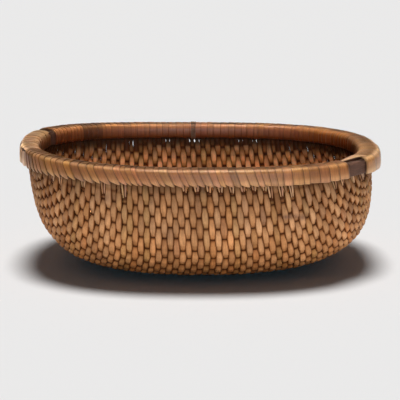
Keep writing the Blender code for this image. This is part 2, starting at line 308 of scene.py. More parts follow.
def unit(vectors):
    """Vectors of length 1 in the same directions."""
    return vectors / np.maximum(np.linalg.norm(vectors, axis=-1, keepdims=True), 1e-12)


def wall_axes(across, along):
    """Centre, sideways, outward and lengthways directions, and how much rods crowd, along one rod."""
    reach = 2.0 * MM
    centre = wall_points(across, along)
    side = wall_points(across + reach, along) - wall_points(across - reach, along)
    run = wall_points(across, along + reach) - wall_points(across, along - reach)
    run = unit(run)
    outward = unit(np.cross(run, side))
    sideways = unit(np.cross(outward, run))
    crowding = np.abs(np.sum(side * sideways, axis=-1)) / (2.0 * reach)
    return centre, sideways, outward, run, crowding


@lru_cache(maxsize=None)
def cord_spacing():
    """Distance between cords on the middle rod."""
    points, distances = half_rod(0.0)
    return float(np.interp(TOP_CORD_Z, points[:, 2], distances)) / CORD_ROWS


def local_cord_spacing(across):
    """Distance between cords along a rod."""
    share = rod_half_length(across) / rod_half_length(0.0)
    return cord_spacing() * max(CORD_CLOSEST, share**CORD_CONVERGENCE)


def rows_crossed(across):
    """The number of the last cord that a rod crosses below the rim."""
    rows = int((rod_half_length(across) - CORD_TO_RIM) / local_cord_spacing(across))
    return min(rows, CORD_ROWS)


def unevenness(across, row, across_scale, row_scale, seed):
    """A smooth random value for the place where a cord crosses a rod."""
    return noise.noise(Vector((across * across_scale, row * row_scale, seed)))


def crossing(across, row):
    """Distance along a rod at which a cord crosses it, with the unevenness of handwork."""
    shift = sum(share * unevenness(across, row, *pattern) for share, *pattern in CORD_PATTERNS)
    return (row + CORD_WOBBLE * shift) * local_cord_spacing(across)


def warped(places):
    """Where places of the true basket lie after the warp."""
    level = places[:, 2] / RIM_LINE_Z
    leftness = np.clip(0.5 - places[:, 0] / SIDE_TO_SIDE, 0.0, 1.0)
    left = np.interp(level, WARP_LEVELS, LEFT_SHIFTS)
    right = np.interp(level, WARP_LEVELS, RIGHT_SHIFTS)
    rise = LEFT_RISE * (np.maximum(-places[:, 0] / RIM_HALF_X, 0.0) * level) ** 2
    return places + np.stack([mix(right, left, leftness), 0.0 * level, rise], axis=-1)


# --- meshes ---


class MeshParts:
    """Grids of points gathered into one mesh, each point with a colour and a grain coordinate."""

    def __init__(self):
        self.points = []
        self.tints = []
        self.grains = []
        self.faces = []
        self.total = 0

    def add_points(self, places, tints, grains):
        """Keep a grid of points and return the number of its first point."""
        first = self.total
        self.points.append(places.reshape(-1, 3))
        self.tints.append(np.broadcast_to(tints, places.shape).reshape(-1, 3))
        self.grains.append(np.broadcast_to(grains, places.shape).reshape(-1, 3))
        self.total += len(self.points[-1])
        return first

    def add_tube(self, rings, tints, grains, closed=False):
        """A tube through rings of points; closed joins the last ring to the first."""
        first = self.add_points(rings, tints, grains)
        count, sides = rings.shape[:2]
        for ring in range(count if closed else count - 1):
            here = first + ring * sides
            there = first + (ring + 1) % count * sides
            for side in range(sides):
                after = (side + 1) % sides
                self.faces.append((here + side, here + after, there + after, there + side))
        if not closed:
            last = first + (count - 1) * sides
            self.faces.append(tuple(first + side for side in reversed(range(sides))))
            self.faces.append(tuple(last + side for side in range(sides)))

    def build(self, name, material, slot, *replaced):
        """Make the object on the basket's body, in place of the frame's nodes that it replaces."""
        mesh = bpy.data.meshes.new(name)
        mesh.from_pydata(warped(np.concatenate(self.points)).tolist(), [], self.faces)
        mesh.materials.append(material)
        tint = mesh.attributes.new("tint", "FLOAT_COLOR", "POINT")
        colours = np.concatenate(self.tints)
        colours = np.hstack([colours, np.ones((len(colours), 1))])
        tint.data.foreach_set("color", colours.astype(np.float32).ravel())
        grain = mesh.attributes.new("grain", "FLOAT_VECTOR", "POINT")
        grain.data.foreach_set("vector", np.concatenate(self.grains).astype(np.float32).ravel())
        mesh.shade_smooth()
        piece = bpy.data.objects.new(name, mesh)
        bpy.context.scene.collection.objects.link(piece)
        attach(piece, ROOT)
        if replaced:
            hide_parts(*replaced)


def angles_round(sides):
    """Angles of a section's points."""
    return np.arange(sides) * 2.0 * math.pi / sides


def unit_section(sides, squareness):
    """Sideways and upward places of a section's points, from square (0) to round (1)."""
    cosine, sine = np.cos(angles_round(sides)), np.sin(angles_round(sides))
    return np.sign(cosine) * np.abs(cosine) ** squareness, np.sign(sine) * np.abs(sine) ** squareness


def grain_grid(lengthways, around, number):
    """Grain coordinates of a grid: distance along the fibres, distance around, piece's number."""
    return np.stack(np.broadcast_arrays(lengthways[:, None], around[None, :], float(number)), axis=-1)


def round_sections(centre, sideways, outward, half_widths, half_thickness, sides, squareness):
    """Rings of a rounded section; half_widths holds the inner face's and the outer face's."""
    across, up = unit_section(sides, squareness)
    inner, outer = half_widths
    width = mix(inner[:, None], outer[:, None], 0.5 + 0.5 * up[None, :])
    width = width * (1.0 + WAIST * (1.0 - up[None, :] ** 2))
    rings = centre[:, None, :] + sideways[:, None, :] * (width * across[None, :])[..., None]
    return rings + outward[:, None, :] * (half_thickness[:, None] * up[None, :])[..., None]


# --- materials ---

# Noise: scale, detail, roughness. The streaks' own scale is in their grain coordinate.
STREAK_NOISE = (1.0, 5.0, 0.62)
FINE_NOISE = (1.0, 3.0, 0.6)
BLOTCH_NOISE = (85.0, 4.0, 0.6)
SPECK_NOISE = (900.0, 1.0, 0.5)
STREAK_SEED = 7.31
FINE_SEED = 3.7
FINE_SCALE = (3.0, 3.3)
NOISE_LOW = 0.3
NOISE_HIGH = 0.7
SPECK_LOW = 0.70
SPECK_HIGH = 0.76
SPECK_COLOUR = (0.03, 0.012, 0.006)
RELIEF_DISTANCE = 0.6 * MM


def add_node(tree, kind, **settings):
    """A shader node with its settings and input values."""
    node = tree.nodes.new(kind)
    for key, value in settings.items():
        if isinstance(value, bpy.types.NodeSocket):
            tree.links.new(value, node.inputs[key])
        elif key in node.inputs:
            node.inputs[key].default_value = value
        else:
            setattr(node, key, value)
    return node


def scaled_grain(tree, grain, scale):
    """The grain coordinate, stretched: along the fibres, around the piece, and the piece's number."""
    node = add_node(tree, "ShaderNodeVectorMath", operation="MULTIPLY")
    tree.links.new(grain, node.inputs[0])
    node.inputs[1].default_value = scale
    return node.outputs[0]


def noise_value(tree, vector, scale, detail, roughness):
    """A noise pattern's value."""
    node = add_node(tree, "ShaderNodeTexNoise", Vector=vector, Scale=scale, Detail=detail,
                    Roughness=roughness)
    return node.outputs["Fac"]


def remap(tree, value, low_in, high_in, low_out, high_out):
    """A value moved from one range to another and held inside it."""
    settings = {"From Min": low_in, "From Max": high_in, "To Min": low_out, "To Max": high_out}
    return add_node(tree, "ShaderNodeMapRange", Value=value, **settings).outputs["Result"]


def multiply(tree, colour, factor):
    """A colour times a number."""
    node = add_node(tree, "ShaderNodeVectorMath", operation="SCALE", Scale=factor)
    tree.links.new(colour, node.inputs[0])
    return node.outputs[0]


def mix_colours(tree, first, second, factor):
    """first where factor is 0 and the plain colour second where it is 1."""
    node = add_node(tree, "ShaderNodeMix", data_type="RGBA")
    tree.links.new(factor, node.inputs[0])
    tree.links.new(first, node.inputs[6])
    node.inputs[7].default_value = (*second, 1.0)
    return node.outputs[2]


def fibre_material(name, streaks, streak_depth, blotch_depth, specks, roughness, bump, gloss):
    """Plant fibre: the piece's tint, with its painted light and shade, broken up by streaks along the
    grain, blotches and specks.
    """
    material = bpy.data.materials.new(name)
    material.use_nodes = True
    tree = material.node_tree
    shader = tree.nodes["Principled BSDF"]
    tint = add_node(tree, "ShaderNodeAttribute", attribute_name="tint").outputs["Color"]
    grain = add_node(tree, "ShaderNodeAttribute", attribute_name="grain").outputs["Vector"]
    place = add_node(tree, "ShaderNodeTexCoord").outputs["Object"]
    along, around = streaks
    streak_grain = scaled_grain(tree, grain, (along, around, STREAK_SEED))
    fine_grain = scaled_grain(tree, grain, (along * FINE_SCALE[0], around * FINE_SCALE[1], FINE_SEED))
    streak = noise_value(tree, streak_grain, *STREAK_NOISE)
    fine = noise_value(tree, fine_grain, *FINE_NOISE)
    blotch = noise_value(tree, place, *BLOTCH_NOISE)
    layers = (
        (streak, 1.0 - streak_depth, 1.0 + 0.7 * streak_depth),
        (fine, 1.0 - 0.5 * streak_depth, 1.0 + 0.4 * streak_depth),
        (blotch, 1.0 - blotch_depth, 1.0 + 0.6 * blotch_depth),
    )
    colour = tint
    for layer, darkest, brightest in layers:
        colour = multiply(tree, colour, remap(tree, layer, NOISE_LOW, NOISE_HIGH, darkest, brightest))
    if specks:
        speck = noise_value(tree, place, *SPECK_NOISE)
        spot = remap(tree, speck, SPECK_LOW, SPECK_HIGH, 0.0, specks)
        colour = mix_colours(tree, colour, SPECK_COLOUR, spot)
    tree.links.new(colour, shader.inputs["Base Color"])
    rough = remap(tree, streak, NOISE_LOW, NOISE_HIGH, *roughness)
    tree.links.new(rough, shader.inputs["Roughness"])
    shader.inputs["Specular IOR Level"].default_value = gloss
    height = add_node(tree, "ShaderNodeMath", operation="ADD")
    tree.links.new(streak, height.inputs[0])
    tree.links.new(fine, height.inputs[1])
    relief = add_node(tree, "ShaderNodeBump", Strength=bump, Distance=RELIEF_DISTANCE,
                      Height=height.outputs[0])
    tree.links.new(relief.outputs["Normal"], shader.inputs["Normal"])
    return material


# --- rods ---


def pick_shade(draw):
    """One of the willow's natural shades."""
    shades, weights = zip(*WILLOW_SHADES)
    return np.array(draw.choices(shades, weights)[0])


def wavering(draw, along, spread, step):
    """A smooth random variation along a rod."""
    knots = np.arange(along[0] - step, along[-1] + 2.0 * step, step)
    values = np.array([draw.gauss(0.0, spread) for _ in knots])
    return np.interp(along, knots, values)


def height_shade(heights):
    """Painted light and shade of the wall by height, with its warmth: grey and dull at the top, dark at
    the foot.
    """
    share = np.clip(heights / RIM_LINE_Z, 0.0, 1.0)
    bright = np.interp(share, BRIGHT_LEVELS, PAINTED_BRIGHTNESS)
    warm = np.interp(share, WARM_LEVELS, WARMTH)
    return bright[..., None] * (1.0 + WARM_CHANNELS * warm[..., None])


def rod_row_numbers(across, along):
    """Which cord row each place along a rod is at, as a number with a fraction."""
    last = rows_crossed(across)
    rows = np.arange(-last, last + 1)
    crossings = np.array([crossing(across, row) for row in rows])
    spacing = local_cord_spacing(across)
    numbers = np.interp(along, crossings, rows)
    numbers = np.where(along > crossings[-1], last + (along - crossings[-1]) / spacing, numbers)
    numbers = np.where(along < crossings[0], -last + (along - crossings[0]) / spacing, numbers)
    return numbers, last


def swing_at_last(index, last):
    """1 where a rod swings outwards at its last cord and -1 where it dips inwards."""
    return 1.0 if (last + index) % 2 == 0 else -1.0


def rod_swing(index, numbers, last, rim_share, sharpness):
    """How far the rod swings outwards, from -1 to 1, given its row numbers."""
    wave = np.cos(math.pi * (numbers + index))
    wave = np.sign(wave) * np.abs(wave) ** sharpness
    at_last = swing_at_last(index, last)
    past_last = np.abs(numbers) > last
    return np.where(past_last, at_last * (1.0 - smooth(rim_share)), wave), at_last


def add_rod(parts, index, draw):
    """One willow rod, front rim to back rim, pinched where a cord crosses over it."""
    across = rod_across(index)
    half = rod_half_length(across)
    top = half + ROD_TOP_RISE
    along = np.linspace(-top, top, max(12, int(2.0 * top / RING_STEP)))
    numbers, last = rod_row_numbers(across, along)
    last_place = last * local_cord_spacing(across)
    rim_share = np.clip((np.abs(along) - last_place) / (half - last_place), 0.0, 1.0)
    centre, sideways, outward, _, crowding = wall_axes(across, along)
    high = smooth(centre[:, 2] / RIM_LINE_Z)
    sharpness = mix(SHARPNESS_LOW, SHARPNESS_HIGH, high)
    swing, at_last = rod_swing(index, numbers, last, rim_share, sharpness)
    pinch = mix(PINCH_LOW, PINCH_HIGH, high)
    full = mix(FULL_LOW, FULL_HIGH, high)
    narrowing = NARROW_INWARD if at_last < 0.0 else NARROW_OUTWARD
    full = full * (1.0 - narrowing * smooth(rim_share * 2.0))
    for side_sign in (-1.0, 1.0):
        if draw.random() < GAP_SHARE and abs(across) < GAP_REACH:
            gap = GAP_DEPTH * smooth((rim_share - GAP_FROM) / GAP_FADE)
            gap = gap * smooth((GAP_TO - rim_share) / GAP_FADE)
            gap = gap * (along * side_sign > 0.0)
            full = full * (1.0 - gap)
            pinch = pinch * (1.0 - gap)
    share = 0.5 + 0.5 * swing
    half_pitch = ROD_PITCH * crowding / 2.0
    size = 1.0 + wavering(draw, along, *WIDTH_WAVER) + draw.gauss(0.0, ROD_WIDTH_SPREAD)
    outer = half_pitch * mix(pinch, full, share) * size
    inner = half_pitch * mix(full, pinch, share) * size
    flat = smooth(rim_share)
    thickness = mix(ROD_HALF_THICKNESS, ROD_TOP_HALF_THICKNESS, flat)
    thickness = thickness * (1.0 - CROWDING_THINS + CROWDING_THINS * crowding)
    to_row = np.abs(numbers - np.round(numbers)) * local_cord_spacing(across)
    at_cord = np.exp(-((to_row / DENT_LENGTH) ** 2)) * (np.abs(numbers) < last + 0.4)
    thickness = thickness - CORD_DENT * at_cord
    depth = mix(SWING_LOW, SWING_HIGH, high) * (1.0 + draw.gauss(0.0, ROD_DEPTH_SPREAD))
    offset = depth * swing + wavering(draw, along, *DEPTH_WAVER) * (1.0 - flat)
    drift = wavering(draw, along, *DRIFT_WAVER) * (1.0 - flat)
    centre = centre + outward * offset[:, None] + sideways * drift[:, None]
    rings = round_sections(centre, sideways, outward, (inner, outer), thickness, ROD_SIDES, ROD_SQUARENESS)
    angles = angles_round(ROD_SIDES)
    split = np.zeros_like(along)
    for side_sign in (1.0, -1.0):
        if is_split(index, at_last, side_sign):
            split = split + smooth(rim_share * 5.0) * (along * side_sign > 0.0)
    tints = rod_tints(draw, numbers, index, swing, rings, angles, to_row, split)
    parts.add_tube(rings, tints, grain_grid(along, angles * ROD_HALF_THICKNESS, index))


def rod_tints(draw, numbers, index, swing, rings, angles, to_row, split):
    """Colours of a rod: its own shade, a little different on each stretch, with painted light and shade
    by height and face and painted shade in its crevices.
    """
    base = pick_shade(draw) * (1.0 + draw.gauss(0.0, ROD_SHADE_SPREAD))
    stretch = np.floor((numbers + index) / 2.0 + 0.5).astype(int)
    shades = {}
    for number in range(int(stretch.min()), int(stretch.max()) + 1):
        other = pick_shade(draw)
        shade = mix(base, other, draw.uniform(0.1, 0.6))
        shades[number] = shade * (1.0 + draw.gauss(0.0, STRETCH_SHADE_SPREAD))
    own = np.array([shades[int(number)] for number in stretch])
    # Painted light and shade by height.
    tints = own[:, None, :] * height_shade(rings[:, :, 2])
    facing = np.sin(angles)
    inside = smooth(0.5 - facing * 1.5)[None, :]
    level = rings[:, :, 2] / RIM_LINE_Z
    # Painted light and shade on the faces by height: the inner face dark just under the rim and brighter
    # lower down, the outer face dark at the rim.
    tints = tints * mix(1.0, np.interp(level, INNER_LEVELS, INNER_PAINTED_LIGHT), inside)[..., None]
    tints = tints * mix(np.interp(level, OUTER_LEVELS, OUTER_PAINTED_SHADE), 1.0, inside)[..., None]
    side = smooth((np.abs(np.cos(angles)) - 0.45) / 0.55)
    pinched = 0.5 - 0.5 * swing[:, None] * np.sign(facing)[None, :]
    near_cord = np.exp(-((to_row / CORD_SHADE_LENGTH) ** 2))[:, None]
    shade = SIDE_SHADE * side[None, :] + CORD_SHADE * near_cord * pinched
    shade = shade + mix(PINCH_SHADE_OUT, PINCH_SHADE_IN, inside) * pinched
    shade = np.clip(shade, 0.0, DEEPEST_SHADE)
    shade = np.maximum(shade, (SPLIT_SHADE * split)[:, None])[..., None]
    for x, height, half_length, half_height, depth in STAINS:
        spot = ((rings[..., 0] - x) / half_length) ** 2 + ((rings[..., 2] - height) / half_height) ** 2
        tints = mix(tints, STAIN, (depth * np.exp(-spot) * (rings[..., 1] < 0.0))[..., None])
    # Painted shade darkens each tint and turns it towards the crevice colour.
    return tints * (1.0 - shade) ** CREVICE_SHADE_FALL + CREVICE_SHADE * shade


def is_split(index, at_last, side_sign):
    """Whether the end of a rod that dips inwards under the rim is split in two."""
    draw = random.Random(4000 + 2 * index + int(side_sign < 0.0))
    return at_last < 0.0 and draw.random() < STRAND_SHARE


def build_rods(material):
    """The 80 rods, in one piece for each of the frame's bands."""
    for band in range(BANDS):
        parts = MeshParts()
        for index in range(band * RODS_PER_BAND, (band + 1) * RODS_PER_BAND):
            add_rod(parts, index, random.Random(1000 + index))
        name = f"willow_rods_{band + 1:02d}"
        parts.build(f"woven_{name}", material, "willow", name)


# --- cords ---


def cord_reach(row):
    """The rod numbers between which a cord lies under the rim, with fractions."""
    crossed = [index for index in range(RODS) if abs(row) <= rows_crossed(rod_across(index))]
    return crossed[0] - CORD_OVERHANG, crossed[-1] + CORD_OVERHANG


def cord_line(row):
    """Middle line of a cord as it weaves between the rods."""
    first, last = cord_reach(row)
    places = []
    for number in np.arange(first, last + 0.01, CORD_LINE_STEP):
        across = rod_across(number)
        along = np.array([crossing(across, row)])
        centre, _, outward, _, _ = wall_axes(across, along)
        wave = math.cos(math.pi * (number + row))
        wave = math.copysign(abs(wave) ** CORD_SHARPNESS, wave)
        places.append(centre[0] - outward[0] * CORD_SWING * wave)
    return np.array(places)


def resampled(points, step):
    """A polyline with points at even distances."""
    distances = distances_along(points)
    where = np.linspace(0.0, distances[-1], max(3, int(distances[-1] / step)))
    return np.stack([np.interp(where, distances, points[:, axis]) for axis in range(3)], axis=-1), where


def line_axes(points):
    """Two directions square to a polyline at each point."""
    run = unit(np.gradient(points, axis=0))
    up = np.where(np.abs(run[:, 2:3]) > 0.9, (0.0, 1.0, 0.0), (0.0, 0.0, 1.0))
    side = unit(np.cross(run, up))
    return side, np.cross(side, run)


def add_cord(parts, points, radius, tint, number):
    """A two-ply twisted cord along a polyline."""
    centre, where = resampled(points, CORD_STEP)
    side, up = line_axes(centre)
    angles = angles_round(CORD_SIDES)
    turn = where[:, None] / CORD_TWIST * 2.0 * math.pi
    reach = radius * (1.0 + 0.2 * np.cos(2.0 * (angles[None, :] - turn)))
    rings = centre[:, None, :] + side[:, None, :] * (reach * np.cos(angles))[..., None]
    rings = rings + up[:, None, :] * (reach * np.sin(angles))[..., None]
    # Painted shade in the grooves between the two plies, lighter on their crowns.
    ply = 0.75 + 0.3 * np.cos(2.0 * (angles[None, :] - turn))[..., None]
    parts.add_tube(rings[:, ::-1], np.array(tint) * ply, grain_grid(where, angles * radius, number))


def build_cords(material):
    """The hemp cords, gathered into a few pieces from front to back."""
    rows = list(range(-CORD_ROWS, CORD_ROWS + 1))
    size = math.ceil(len(rows) / CORD_GROUPS)
    for group in range(CORD_GROUPS):
        parts = MeshParts()
        nodes = []
        for row in rows[group * size:(group + 1) * size]:
            add_cord(parts, cord_line(row), CORD_RADIUS, HEMP_TINT, row)
            nodes.append(f"hemp_cord_{row + CORD_ROWS + 1:02d}")
        parts.build(f"twisted_hemp_cords_{group + 1}", material, "hemp", *nodes)


# --- rim ---

RIM_SAMPLES = 6000
RIM_PATH = np.array((
    (-11.0, 4.8), (-13.6, 3.4), (-15.4, 4.6), (-16.2, 8.0), (-16.3, 14.0), (-15.8, 20.5), (-13.6, 25.0),
    (-8.5, 26.9), (-1.0, 27.6), (7.0, 27.2), (12.6, 26.0), (16.0, 23.4), (17.2, 18.5), (17.6, 11.0),
    (17.6, 5.0), (17.0, 0.8),
)) * MM
CORNER_CUTS = 3
CORNER_SHARE = 0.25
SPLINT_WIDTH = 12.0 * MM
WIDTH_RANGE = (0.6, 1.3)
WIDE_TURN = 1.3
LAST_TURN = 1.4
SPLINT_THICKNESS = 0.9 * MM
SPLINT_OVERLAP = 2.6 * MM
SPLINT_LONG_STEPS = 40
SPLINT_CROSS_STEPS = 9
SPLINT_CROWN = 0.35 * MM
END_CORNER = 1.6 * MM
# The outer face starts at this share of the section; the splint's foot spreads and flares below it.
OUTER_FACE_FROM = 0.68
FLARE_FROM = 0.25
FLARE_AT_LEFT = 0.25
FOOT_SPREAD = 0.06
TONE_SPREAD = 0.12
TONE_FROM = 0.30
TONE_FADE = 0.10
GREY_FROM = 0.36
GREY_FADE = 0.08
GREY_TOP = np.array((0.80, 0.86, 0.98))
# Colours along a splint from its inner foot over the top to its outer foot, by share of the section,
# with painted shade at the inner foot and painted highlights along the inner and the outer top edge.
SPLINT_STOPS = (0.0, 0.10, 0.26, 0.33, 0.40, 0.52, 0.62, 0.68, 0.72, 0.78, 0.86, 0.93, 1.0)
SPLINT_COLOURS_AND_PAINTED_LIGHT = np.array((
    (0.06, 0.014, 0.003), (0.15, 0.036, 0.008), (0.28, 0.076, 0.018), (0.54, 0.22, 0.07),
    (0.33, 0.140, 0.048), (0.245, 0.098, 0.032), (0.26, 0.105, 0.034), (0.56, 0.28, 0.115),
    (0.31, 0.120, 0.032), (0.29, 0.102, 0.026), (0.36, 0.140, 0.042), (0.54, 0.258, 0.104),
    (0.52, 0.25, 0.112),
))


@lru_cache(maxsize=None)
def rim_section():
    """The wrapping's section, rounded, as (offset, height over the rim line), inner foot first."""
    points = RIM_PATH
    for _ in range(CORNER_CUTS):
        early = (1.0 - CORNER_SHARE) * points[:-1] + CORNER_SHARE * points[1:]
        late = CORNER_SHARE * points[:-1] + (1.0 - CORNER_SHARE) * points[1:]
        points = np.vstack([points[:1], np.stack([early, late], axis=1).reshape(-1, 2), points[-1:]])
    return points, distances_along(points)


SECTION_LENGTH = float(rim_section()[1][-1])


def over_rim(reach, swell, widen=1.0):
    """Offset and height of places on the section, at distances along it and heights above it."""
    points, distances = rim_section()
    step = 0.4 * MM
    offset = np.interp(reach, distances, points[:, 0])
    height = np.interp(reach, distances, points[:, 1])
    after = [np.interp(reach + step, distances, points[:, axis]) for axis in range(2)]
    before = [np.interp(reach - step, distances, points[:, axis]) for axis in range(2)]
    run_offset, run_height = after[0] - before[0], after[1] - before[1]
    length = np.maximum(np.hypot(run_offset, run_height), 1e-9)
    return widen * offset - run_height / length * swell, RIM_LINE_Z + height + run_offset / length * swell


@lru_cache(maxsize=None)
def rim_line():
    """Places once round the rim line from the middle of the front, towards +X, with distances."""
    turn = np.linspace(-0.5 * math.pi, 1.5 * math.pi, RIM_SAMPLES)
    cosine, sine = np.cos(turn), np.sin(turn)
    x = RIM_HALF_X * np.sign(cosine) * np.abs(cosine) ** (2.0 / PLAN_POWER_RIM)
    y = RIM_HALF_Y * np.sign(sine) * np.abs(sine) ** (2.0 / PLAN_POWER_RIM)
    points = np.stack([x, y, 0.0 * x], axis=-1)
    return points, distances_along(points)


RIM_LENGTH = float(rim_line()[1][-1])


def rim_places(distance):
    """Places on the rim line, and outward directions, at distances round it."""
    points, distances = rim_line()
    wrapped = np.mod(distance, RIM_LENGTH)
    x = np.interp(wrapped, distances, points[:, 0])
    y = np.interp(wrapped, distances, points[:, 1])
    power = PLAN_POWER_RIM - 1.0
    out_x = np.sign(x) * (np.abs(x) / RIM_HALF_X) ** power / RIM_HALF_X
    out_y = np.sign(y) * (np.abs(y) / RIM_HALF_Y) ** power / RIM_HALF_Y
    length = np.hypot(out_x, out_y)
    place = np.stack([x, y, 0.0 * x], axis=-1)
    outward = np.stack([out_x / length, out_y / length, 0.0 * x], axis=-1)
    return place, outward


def far_rim_distance(x):
    """Distance round the rim line to the place at the back with this x."""
    points, distances = rim_line()
    gaps = np.where(points[:, 1] > 0.0, np.abs(points[:, 0] - x), np.inf)
    return float(distances[int(np.argmin(gaps))])


def splint_tints(reach, edge, tone, grey, seam_shade):
    """Colours of one splint: reddish inside, tan on top, brown outside and pale at the outer foot, with
    painted shade at its inner foot and along both edges and painted highlights along its top edges.
    """
    share = reach / SECTION_LENGTH
    channels = [np.interp(share, SPLINT_STOPS, channel) for channel in SPLINT_COLOURS_AND_PAINTED_LIGHT.T]
    tone_here = mix(min(tone, 1.0), tone, smooth((share - TONE_FROM) / TONE_FADE))
    greyness = (grey * smooth((share - GREY_FROM) / GREY_FADE))[..., None]
    tints = np.stack(channels, axis=-1) * mix(1.0, GREY_TOP, greyness) * tone_here[..., None]
    # Painted shade along both edges, in the seams where the splints overlap.
    dark = seam_shade * np.abs(edge) ** 5
    return mix(tints, CREVICE_SHADE, dark[..., None])


def add_splint(parts, draw, middle, width, slant, number, notch, flare, lift=0.0, tone=1.0, grey=0.0,
               thickness=SPLINT_THICKNESS, widen=1.0, reach_from=0.0, cast=(1.0, 1.0, 1.0), seam_shade=0.72):
    """One flat splint bent over both hoops, its right edge lying over its neighbour's left edge.

    notch shortens its left edge, flare lifts its outer foot, lift raises all of it, widen stretches
    the section sideways and seam_shade paints shade along both edges.
    """
    share = np.linspace(0.0, 1.0, SPLINT_LONG_STEPS)
    edge = np.linspace(-1.0, 1.0, SPLINT_CROSS_STEPS)
    share, edge = np.meshgrid(share, edge, indexing="ij")
    left = (1.0 - edge) / 2.0
    end = SECTION_LENGTH - notch * left**1.5 - draw.uniform(0.0, 1.6) * MM
    end = end - END_CORNER * np.clip((edge - 0.5) / 0.5, 0.0, 1.0) ** 2
    reach = mix(reach_from, end, share)
    outside = np.clip((reach / SECTION_LENGTH - OUTER_FACE_FROM) / (1.0 - OUTER_FACE_FROM), 0.0, 1.0)
    low = smooth((outside - FLARE_FROM) / (1.0 - FLARE_FROM))
    swell = lift + (0.2 + 0.9 * (1.0 - left)) * MM + SPLINT_CROWN * (1.0 - edge**2)
    swell = swell + draw.uniform(-0.15, 0.3) * MM
    swell = swell + flare * low * (FLARE_AT_LEFT + (1.0 - FLARE_AT_LEFT) * (1.0 - left))
    distance = middle + edge * width / 2.0 * (1.0 + FOOT_SPREAD * low) + slant * outside
    tints = splint_tints(reach, edge, tone * (1.0 + draw.gauss(0.0, TONE_SPREAD)), grey, seam_shade)
    hue = np.array((1.0, 1.0 + draw.gauss(0.0, 0.03), 1.0 + draw.gauss(0.0, 0.06))) * cast
    grains = np.stack([reach, edge * width / 2.0, np.full_like(share, number)], axis=-1)
    surfaces = []
    for side in (0.5, -0.5):
        offset, height = over_rim(reach, swell + side * thickness, widen)
        place, outward = rim_places(distance)
        surfaces.append(place + outward * offset[..., None] + UP * height[..., None])
    rings = np.concatenate([surfaces[0], surfaces[1][:, ::-1]], axis=1)
    ring_tints = np.concatenate([tints, tints[:, ::-1]], axis=1) * hue
    ring_grains = np.concatenate([grains, grains[:, ::-1]], axis=1)
    parts.add_tube(rings[:, ::-1], ring_tints[:, ::-1], ring_grains[:, ::-1])


def splint_turns(draw, distance, last, wide_from=np.inf):
    """Start, middle and width of each turn of an uneven wrapping between two distances."""
    while distance < last:
        wide = 1.0 if distance < wide_from else WIDE_TURN
        width = SPLINT_WIDTH * wide * draw.uniform(*WIDTH_RANGE)
        if distance + LAST_TURN * width > last:
            width = last - distance
        yield distance, distance + width / 2.0, width
        distance += width


LEFT_END = 0.75 * RIM_LENGTH
RIGHT_END = 0.25 * RIM_LENGTH
LEFT_BINDING = (-88.0 * MM, 106.0 * MM)
RIGHT_BINDING = (-141.0 * MM, 80.0 * MM)
LEFT_WIDEN = 0.89
LEFT_CAST = (0.97, 1.28, 1.85)
LEFT_SPLINTS = 9
LEFT_OVERLAP = 4.0 * MM
LEFT_TOP_PLACES_MM = (-34.0, 16.0, 62.0)
LEFT_TOP_FROM = 0.06
RIGHT_CAST = (0.98, 1.16, 1.48)
BARE_RIGHT = 48.0 * MM
BARE_LEFT = 24.0 * MM
RIGHT_WIDTHS_MM = (34.0, 36.0, 33.0, 33.0, 28.0, 31.0, 31.0)
RIGHT_LAPPING = 4
STAINED_FROM_X = -0.222
STAINED_TO_X = -0.185
# Front splints by x: strongly slanted and pointed at the left, upright and square at the right.
SLANT_PLACES = (-0.25, -0.12, 0.0, 0.09, 0.12)
SLANTS_MM = (15.0, 14.0, 10.0, 7.0, 1.5)
NOTCH_PLACES = (-0.05, 0.09, 0.12)
NOTCHES_MM = (7.0, 4.5, 1.0)
FRONT_CHANGE = 0.11
FLARE_BEFORE = 1.9 * MM
FLARE_AFTER = 0.8 * MM


def build_front_wrap(material):
    """The splints wound over the front of the rim."""
    draw = random.Random(51)
    parts = MeshParts()
    first = LEFT_END + LEFT_BINDING[1] - RIM_LENGTH
    last = RIGHT_END + RIGHT_BINDING[0] - BARE_RIGHT
    turns = splint_turns(draw, first, last, FRONT_CHANGE)
    for number, (start, middle, width) in enumerate(turns):
        x = rim_places(middle)[0][0]
        slant = float(np.interp(x, SLANT_PLACES, SLANTS_MM)) * MM
        notch = float(np.interp(x, NOTCH_PLACES, NOTCHES_MM)) * MM
        flare = FLARE_BEFORE if start < FRONT_CHANGE else FLARE_AFTER
        add_splint(parts, draw, middle, width + SPLINT_OVERLAP, slant, number, notch, flare)
    parts.build("splint_wrapping_front", material, "rim_splint", "rim_wrap_front")


def build_back_wrap(material):
    """The splints wound over the back of the rim, one length of them stained dark."""
    draw = random.Random(52)
    parts = MeshParts()
    first = RIGHT_END + RIGHT_BINDING[1]
    last = LEFT_END + LEFT_BINDING[0] - BARE_LEFT
    for number, (_, middle, width) in enumerate(splint_turns(draw, first, last)):
        x = float(rim_places(middle)[0][0])
        tone = 0.45 if STAINED_FROM_X < x < STAINED_TO_X else 1.2
        grey = 0.9 * float(smooth((x + 0.12) / 0.10)) * (1.0 - float(smooth((x - 0.17) / 0.06)))
        add_splint(parts, draw, middle, width + SPLINT_OVERLAP, slant=5.0 * MM, number=200 + number,
                   notch=3.0 * MM, flare=0.8 * MM, tone=tone, grey=grey, seam_shade=0.4)
    parts.build("splint_wrapping_back", material, "rim_splint", "rim_wrap_back")


